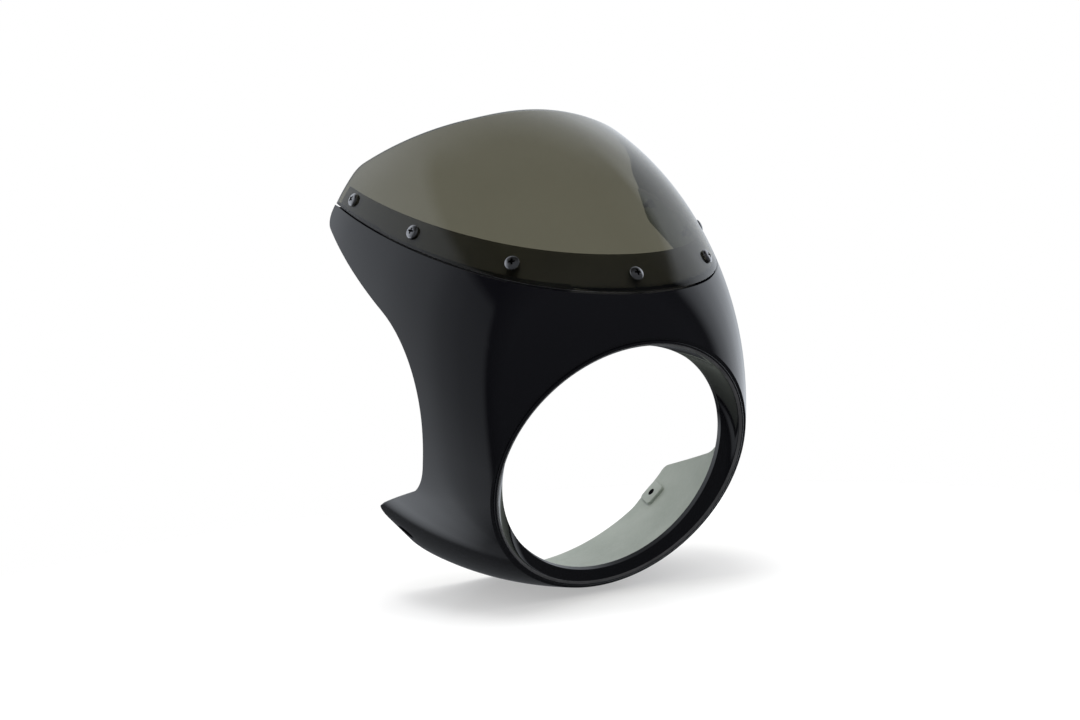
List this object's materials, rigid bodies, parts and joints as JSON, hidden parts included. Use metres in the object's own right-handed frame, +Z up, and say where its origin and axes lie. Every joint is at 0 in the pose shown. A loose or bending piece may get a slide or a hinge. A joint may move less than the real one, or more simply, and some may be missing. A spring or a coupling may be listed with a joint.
{
  "type": "headlight cowl",
  "caption": "Moulded gloss black motorbike headlight cowl with a round lamp opening, swept-back ears and a curved smoked windscreen screwed to its upper flange.",
  "frame": {"origin": "middle of the round lamp seat, on the lamp axis, at half the length of the seat", "axes": "+Z up as mounted on the motorbike, -Y forward along the lamp axis, +X to the right seen from the front camera"},
  "size_m": [0.3012, 0.2491, 0.3736],
  "materials": {
    "cowl_gloss_black": "gloss black outside, bare grey-green moulding inside",
    "smoked_screen": "polished smoked acrylic",
    "screw_black_nickel": "dark nickel plated",
    "nut_zinc": "zinc plated",
    "washer_zinc": "zinc plated"
  },
  "bodies": {
    "root": {"cowl_shell": "cowl_gloss_black", "windscreen": "smoked_screen", "screen_screws": "screw_black_nickel", "screen_nuts": "nut_zinc", "nut_washers": "washer_zinc"}
  },
  "joints": []
}
